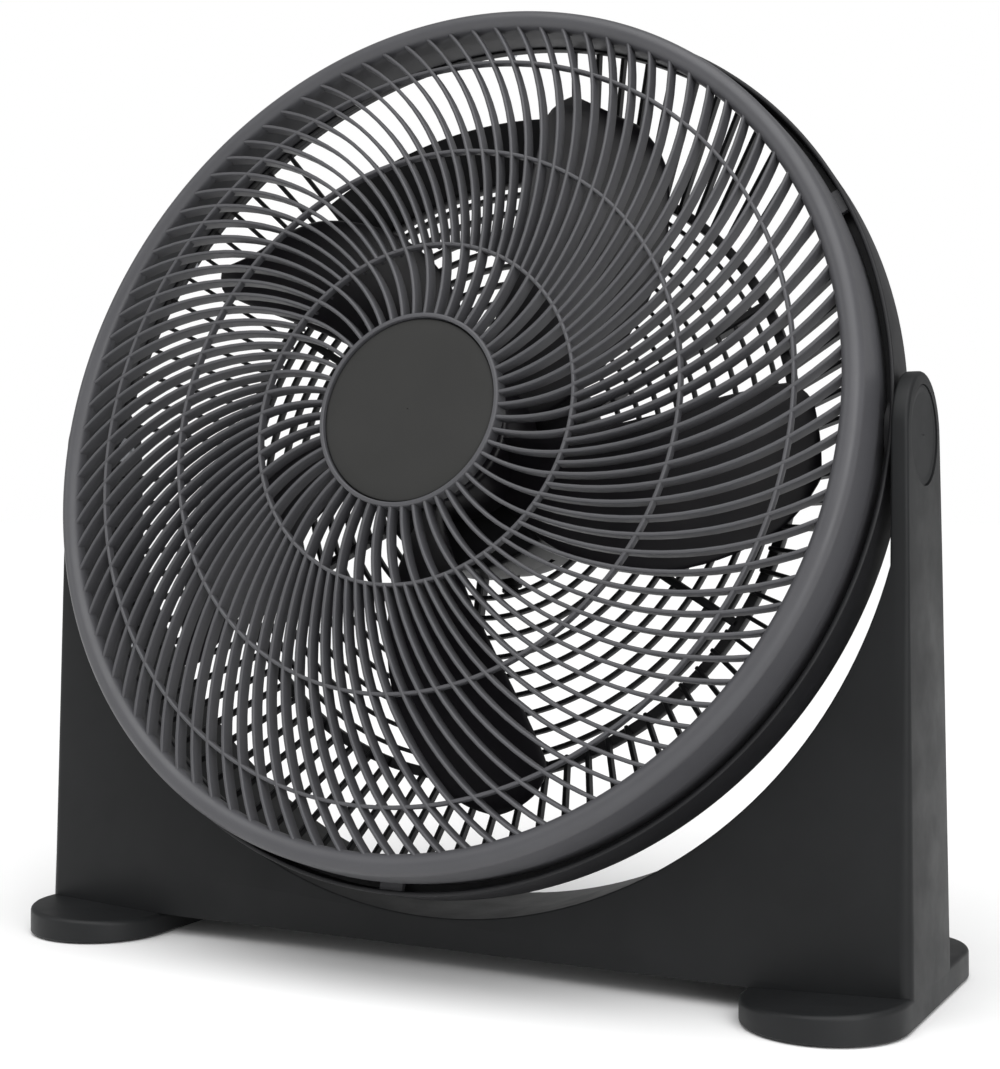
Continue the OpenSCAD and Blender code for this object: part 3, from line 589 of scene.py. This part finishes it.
bar_length = math.hypot(LEDGE - 7 - REAR_A, BASKET_IN + 1 - WIDE) + 2.5
for angle in [4 * k for k in range(90) if not 80 < 4 * k < 128 and k % 45]:
    rib = beam((0, 0), (bar_length, 0), 2.4, 0, 5, 0.6)
    rib.placed(Matrix.Rotation(math.radians(angle), 4, "Z") @ Matrix.Translation((WIDE, 0, REAR_A - 2))
               @ Matrix.Rotation(-SLOPE, 4, "Y"))
    also(guard, rib)
also(guard, soft_ring(9, PLATE_R, PLATE_BACK, PLATE_BACK + 4, 160, 0.8))
also(guard, soft_ring(PLATE_R - 3, PLATE_R, REAR_A - 8.6, PLATE_BACK + 4, 160, 0.8))
give(in_head(build("rear_guard", guard)), "head", "rear_grille")

cover_profile = rounded(
    [(0.3, COVER_BACK), (52, COVER_BACK), (58, COVER_BACK + 6), (66, PLATE_BACK), (63.5, PLATE_BACK),
     (55.5, COVER_BACK + 7), (51, COVER_BACK + 2.5), (0.3, COVER_BACK + 2.5)],
    [0, 4, 5, 0.4, 0.4, 3, 3, 0], 6)
cover = build("motor_cover_shell", lathe(cover_profile, 160))
openings = Shape()
for side in (90, -90):
    for angle in range(30, 151, 15):
        vent = block((44, -1.6, COVER_BACK + 22), (68, 1.6, COVER_BACK + 48))
        also(openings, vent.placed(Matrix.Rotation(math.radians(angle + side), 4, "Z")))
cut(cover, openings)
hole_profile = [(0.2, COVER_BACK - 2), (3.6, COVER_BACK - 2), (3.6, COVER_BACK + 5), (0.2, COVER_BACK + 5)]
spindle_hole = lathe(hole_profile, 32)
cut(cover, spindle_hole.placed(Matrix.Translation((0, SWITCH_Y, 0))))
give(in_head(cover), "head", "motor_cover")

gland_a = COVER_BACK + 16
gland_profile = [(3.4, 50), (7, 50), (7, 53.5), (5, 53.7), (5, 61), (6.6, 61.3), (7, 61.9), (7, 65.4),
                 (6.6, 66), (5.2, 66.4)]
for k in range(4):
    gland_profile += [(5.2, 66.7 + k), (4.7, 67.0 + k), (4.7, 67.4 + k)]
gland_profile += [(4.3, 70), (3.4, 70)]
gland = lathe(gland_profile, 48).placed(
    Matrix.Translation((0, 0, gland_a)) @ Matrix.Rotation(math.radians(90), 4, "X"))
give(in_head(build("cord_gland_sleeve", gland)), "head", "cord_gland")

KNOB_END = COVER_BACK - 16


def flutes(angle, radius, height):
    return radius + (0.35 * math.cos(24 * angle) if 12 < radius < 13.5 else 0)


knob = lathe(rounded([(3.03, COVER_BACK - 0.5), (16, COVER_BACK - 0.5), (16, COVER_BACK - 4),
                      (13, COVER_BACK - 4.6), (12.6, KNOB_END), (0.3, KNOB_END), (0.3, COVER_BACK - 12.1),
                      (3.03, COVER_BACK - 12.1)],
                     [0.2, 0.6, 1, 0.6, 1.6, 0, 0, 0], 5), 144, wave=flutes)
also(knob, beam((0, -15.2), (0, -1), 5, KNOB_END, COVER_BACK - 1, 1.2))
knob.placed(Matrix.Translation((0, SWITCH_Y, 0)))
give(in_head(build("speed_knob_grip", knob)), "knob", "speed_knob")


# ---- impeller ----


def blade_point(share, radius, lift):
    """A point of a blade: share 0 to 1 across it, at a radius, lifted off its middle surface."""
    out = (radius - HUB_R) / (BLADE_R - HUB_R)
    rise = 38 * (share - 0.12 * math.sin(math.pi * share)) * (1 - 0.38 * out)
    half = 21.5 * (1 - 0.62 * max(0.0, out) ** 2.2)
    half *= math.sqrt(max(0.0, 1 - (max(0.0, out - 0.9) / 0.12) ** 2))
    flat = polar(radius, 29 * out + half * (2 * share - 1))
    return (flat.x, flat.y, HUB_BACK + 20 - 38 * 0.19 + rise - 38 * 0.31 + lift)


def blade(turn, across=20, along=26):
    radii = [42 + (BLADE_R - 42) * (1 - (1 - i / along) ** 1.5) for i in range(along + 1)]
    points, faces = [], []
    for sign in (1, -1):
        for i, r in enumerate(radii):
            for j in range(across + 1):
                share = (1 - math.cos(math.pi * j / across)) / 2
                edge = math.sqrt(max(0.0, 1 - abs(2 * share - 1) ** 12))
                tip = math.sqrt(max(0.0, 1 - (i / along) ** 30))
                points.append(blade_point(share, r, sign * 1.25 * edge * tip))
    row, layer = across + 1, (across + 1) * (along + 1)
    for i in range(along):
        for j in range(across):
            a = i * row + j
            faces.append([a, a + 1, a + row + 1, a + row])
            faces.append([layer + a, layer + a + row, layer + a + row + 1, layer + a + 1])
    faces += [[j, layer + j, layer + j + 1, j + 1] for j in range(across)]
    return Shape().add(points, faces).placed(Matrix.Rotation(math.radians(turn), 4, "Z"))


impeller = Shape()
for k in range(5):
    also(impeller, blade(72 * k + 42))
also(impeller, lathe(rounded([(8.5, HUB_FRONT), (HUB_R, HUB_FRONT), (HUB_R, HUB_BACK), (HUB_R - 3, HUB_BACK),
                              (HUB_R - 3, HUB_FRONT - 3), (8.5, HUB_FRONT - 3)],
                             [0, 4, 0.5, 0.5, 2, 0], 5), 144))
also(impeller, lathe(rounded([(4.03, HUB_FRONT + 0.02), (9, HUB_FRONT + 0.02), (9, HUB_BACK + 6),
                              (4.03, HUB_BACK + 6)],
                             [0.3, 0.1, 0.6, 0.2], 2), 64))
give(in_head(build("impeller", impeller, 50)), "rotor", "fan_impeller")


# ---- stand ----


def half_width(z):
    return BASE_HALF - (BASE_HALF - ARM_OUT) * (z - FOOT_TOP) / (PIVOT_Z - FOOT_TOP)


def half_depth(z):
    return BASE_DEPTH - (BASE_DEPTH - ARM_DEPTH) * (z - FOOT_TOP) / (PIVOT_Z - FOOT_TOP)


CORNER = 6.5
join_z = CUT_Z - math.sqrt(CUT_R**2 - ARM_IN**2)
low_z = [FOOT_TOP + (join_z - FOOT_TOP) * i / 7 for i in range(8)]
high_z = [join_z + (PIVOT_Z - join_z) * i / 4 for i in range(1, 5)]
dome = [math.radians(t) for t in range(6, 175, 7)]
outer_chain = [(-half_depth(z), z) for z in low_z + high_z]
outer_chain += [(-ARM_DEPTH * math.cos(t), PIVOT_Z + ARM_DEPTH * math.sin(t)) for t in dome]
outer_chain += [(half_depth(z), z) for z in (low_z + high_z)[::-1]]
first = len(low_z) - 1
inner_chain = outer_chain[first:len(outer_chain) - first]


def stand_solid():
    """The stand as one sharp-edged solid, with a bevel weight on each edge that is to be rounded."""
    bm = bmesh.new()
    weight = bm.edges.layers.float.new("bevel_weight_edge")

    def vert(x, y, z):
        return bm.verts.new((x * MM, y * MM, z * MM))

    chains = {}
    for side in (1, -1):
        chains[side, "out"] = [vert(side * half_width(z), y, z) for y, z in outer_chain]
        chains[side, "in"] = [vert(side * ARM_IN, y, z) for y, z in inner_chain]
    steps = 84
    top = math.asin(ARM_IN / CUT_R)
    arcs = {}
    for face in (-1, 1):
        arc = []
        for i in range(1, steps):
            t = top - 2 * top * i / steps
            x, z = CUT_R * math.sin(t), CUT_Z - CUT_R * math.cos(t)
            arc.append(vert(x, face * half_depth(z), z))
        arcs[face] = arc
    n_high = len(low_z) + len(high_z)
    for face in (-1, 1):
        def run(side, kind):
            chain = chains[side, kind]
            return chain if face < 0 else chain[::-1]
        count = len(high_z) + 1
        loop = run(1, "out")[:n_high] + run(1, "in")[:count][::-1] + arcs[face]
        loop += run(-1, "in")[:count] + run(-1, "out")[:n_high][::-1]
        bm.faces.new(loop)
    for side in (1, -1):
        out, inn = chains[side, "out"], chains[side, "in"]
        bm.faces.new(out)
        bm.faces.new(inn)
        for i in range(len(high_z), len(inn) - len(high_z) - 1):
            bm.faces.new([inn[i], inn[i + 1], out[first + i + 1], out[first + i]])
    front = [chains[1, "in"][0], *arcs[-1], chains[-1, "in"][0]]
    rear = [chains[1, "in"][-1], *arcs[1], chains[-1, "in"][-1]]
    for i in range(len(front) - 1):
        bm.faces.new([front[i], front[i + 1], rear[i + 1], rear[i]])
    bm.faces.new([chains[1, "out"][0], chains[1, "out"][-1], chains[-1, "out"][-1], chains[-1, "out"][0]])
    bmesh.ops.recalc_face_normals(bm, faces=bm.faces)
    for edge in bm.edges:
        if len(edge.link_faces) != 2 or edge.calc_face_angle(0) < math.radians(30):
            continue
        a, b = (v.co / MM for v in edge.verts)
        z = (a.z + b.z) / 2
        if z < FOOT_TOP + 0.1:
            size = 0.3
        elif min(abs(a.x), abs(b.x)) > ARM_IN + 2:
            size = max(2.2, CORNER - (CORNER - 2.2) * (z - FOOT_TOP) / 200)
        elif abs(a.x) > ARM_IN - 0.1 and abs(b.x) > ARM_IN - 0.1:
            size = 1.5
        else:
            size = 0.9
        edge[weight] = size / CORNER
    mesh = bpy.data.meshes.new("stand_front")
    bm.to_mesh(mesh)
    bm.free()
    obj = bpy.data.objects.new("stand_front", mesh)
    bpy.context.scene.collection.objects.link(obj)
    bevel = obj.modifiers.new("bevel", "BEVEL")
    bevel.width = CORNER * MM
    bevel.segments = 5
    bevel.limit_method = "WEIGHT"
    bevel.use_clamp_overlap = True
    baked(obj)
    finish_mesh(obj, 32)
    return obj


def back_plate(inset, front, rear):
    """The back panel's outline, inset from the stand's edges, between two depths behind the rear face."""
    right = [(half_width(z) - inset, z) for z in (FOOT_TOP + inset + 1, 90, 160, 222)]
    radius = CUT_R + inset
    top = math.asin((half_width(222) - inset - 5.5) / radius)
    arc = [(radius * math.sin(top - 2 * top * i / 64), CUT_Z - radius * math.cos(top - 2 * top * i / 64))
           for i in range(65)]
    left = [(-x, z) for x, z in right[::-1]]
    outline = right + arc + left
    points = [(x, half_depth(z) + y, z) for y in (front, rear) for x, z in outline]
    return Shape().add(points, grid(2, len(outline), caps=True))


SCREWS = [(BASE_HALF - 92, FOOT_TOP + 20), (BASE_HALF - 26, FOOT_TOP + 50), (BASE_HALF - 24, FOOT_TOP + 128)]
stand_front = stand_solid()
for side in (1, -1):
    recess = lathe([(0.2, ARM_OUT - 2.9), (26.3, ARM_OUT - 2.9), (26.3, ARM_OUT + 6), (0.2, ARM_OUT + 6)], 96)
    recess.placed(Matrix.Translation((0, 0, PIVOT_Z)) @ Matrix.Rotation(math.radians(90 * side), 4, "Y"))
    cut(stand_front, recess)
cut(stand_front, back_plate(2.2, -3.4, 4))
give(stand_front, "stand", "stand_shell")
stand_rear = build("stand_rear", back_plate(2.5, -3.2, -0.4))
holes = Shape()
for side in (1, -1):
    for x, z in SCREWS:
        hole = lathe([(0.2, -60), (4.3, -60), (4.3, 60), (0.2, 60)], 32)
        turned = Matrix.Translation((side * x, 20, z)) @ Matrix.Rotation(math.radians(90), 4, "X")
        also(holes, hole.placed(turned))
cut(stand_rear, holes)
give(stand_rear, "stand", "stand_back")

for side, name in ((1, "right"), (-1, "left")):
    disc = lathe(rounded([(0.3, ARM_OUT - 2.8), (26.15, ARM_OUT - 2.8), (26.15, ARM_OUT - 0.75),
                          (24.4, ARM_OUT - 0.75),
                          (22, ARM_OUT - 1.15), (0.3, ARM_OUT - 1.05)], [0, 0.2, 0.7, 0.3, 1.5, 0], 4), 128)
    disc.placed(Matrix.Translation((0, 0, PIVOT_Z)) @ Matrix.Rotation(math.radians(90 * side), 4, "Y"))
    give(build(f"{name}_pivot_disc", disc), "stand", f"{name}_pivot_cap")


def foot(side):
    """A flat stadium foot with a rounded upper edge and a top that rises toward the outside."""
    low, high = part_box("right_foot")
    front, back = low.y / MM + FOOT_HALF, high.y / MM - FOOT_HALF
    outline = []
    for middle, start in ((front, 180), (back, 0)):
        for i in range(37):
            t = math.radians(start + 5 * i)
            outline.append((math.cos(t), math.sin(t), middle))
    edge = 2.8
    levels = [(0.9, None, 1.0), (0.0, None, 1.9)]
    levels += [(edge * (1 - math.cos(math.radians(t))), edge * (1 - math.sin(math.radians(t))), 0)
               for t in range(0, 91, 15)]
    points = []
    for inset, drop, height in levels:
        for nx, ny, middle in outline:
            x = FOOT_AXIS + nx * (FOOT_HALF - inset)
            y = middle + ny * (FOOT_HALF - inset)
            top = FOOT_TOP + 4 * (x - FOOT_AXIS + FOOT_HALF) / (2 * FOOT_HALF)
            points.append((side * x, y, height if drop is None else top - drop))
    return Shape().add(points, grid(len(levels), len(outline), caps=True))


for side, name in ((1, "right"), (-1, "left")):
    give(build(f"{name}_foot_pad", foot(side)), "stand", f"{name}_foot")


# ---- stage, light and camera ----


def stage_material():
    look = Look("floor_paint")
    soft = look.noise(400, 3)
    look.colour(look.spread(soft, 0, 1), (0.91, 0.91, 0.91), (0.94, 0.94, 0.94))
    look.join(look.spread(look.noise(150, 2), 0.85, 0.95), look.shader.inputs["Roughness"])
    look.set(Specular_IOR_Level=0.1)
    return look.material


floor_mesh = bpy.data.meshes.new("floor")
floor_mesh.from_pydata([(-60, -60, 0), (60, -60, 0), (60, 60, 0), (-60, 60, 0)], [], [[0, 1, 2, 3]])
floor = bpy.data.objects.new("floor", floor_mesh)
floor.data.materials.append(stage_material())
bpy.context.scene.collection.objects.link(floor)

world = bpy.data.worlds.new("studio")
bpy.context.scene.world = world
world.use_nodes = True
tree = world.node_tree
tree.nodes.clear()
sky = tree.nodes.new("ShaderNodeBackground")
sky.inputs["Color"].default_value = (1, 1, 1, 1)
sky.inputs["Strength"].default_value = 0.36
backdrop = tree.nodes.new("ShaderNodeBackground")
backdrop.inputs["Color"].default_value = (1, 1, 1, 1)
backdrop.inputs["Strength"].default_value = 1.0
seen = tree.nodes.new("ShaderNodeLightPath")
mix = tree.nodes.new("ShaderNodeMixShader")
out = tree.nodes.new("ShaderNodeOutputWorld")
tree.links.new(seen.outputs["Is Camera Ray"], mix.inputs[0])
tree.links.new(sky.outputs[0], mix.inputs[1])
tree.links.new(backdrop.outputs[0], mix.inputs[2])
tree.links.new(mix.outputs[0], out.inputs[0])


def lamp(name, kind, energy, place, target, size=1.0, size_y=None, angle=0.0):
    data = bpy.data.lights.new(name, kind)
    data.energy = energy
    if kind == "AREA":
        data.shape = "RECTANGLE"
        data.size = size
        data.size_y = size_y or size
    else:
        data.angle = angle
    obj = bpy.data.objects.new(name, data)
    obj.location = place
    obj.rotation_euler = (Vector(target) - Vector(place)).to_track_quat("-Z", "Y").to_euler()
    bpy.context.scene.collection.objects.link(obj)
    return obj


lamp("overhead", "SUN", 2.7, (0.6, -1.4, 3.2), (0, 0, 0), angle=math.radians(70))
lamp("right_box", "AREA", 26, (2.1, -1.5, 0.9), (0, 0, 0.3), 1.4, 1.6)
lamp("left_box", "AREA", 10, (-2.2, -1.6, 1.2), (0, 0, 0.3), 1.2, 1.6)

CAMERA_AT = Vector((0.50865, -0.93721, PIVOT_Z * MM - 0.04226))
CAMERA_LOOK = Vector((-0.46483, 0.88502, 0.02596))
camera_data = bpy.data.cameras.new("camera")
camera_data.sensor_width = 36
camera_data.lens = 61.566
camera_data.shift_x = 0.0105
camera_data.shift_y = -0.0608
camera = bpy.data.objects.new("camera", camera_data)
camera.location = CAMERA_AT
camera.rotation_euler = CAMERA_LOOK.to_track_quat("-Z", "Y").to_euler()
bpy.context.scene.collection.objects.link(camera)
bpy.context.scene.camera = camera
bpy.context.scene.view_settings.view_transform = "Standard"
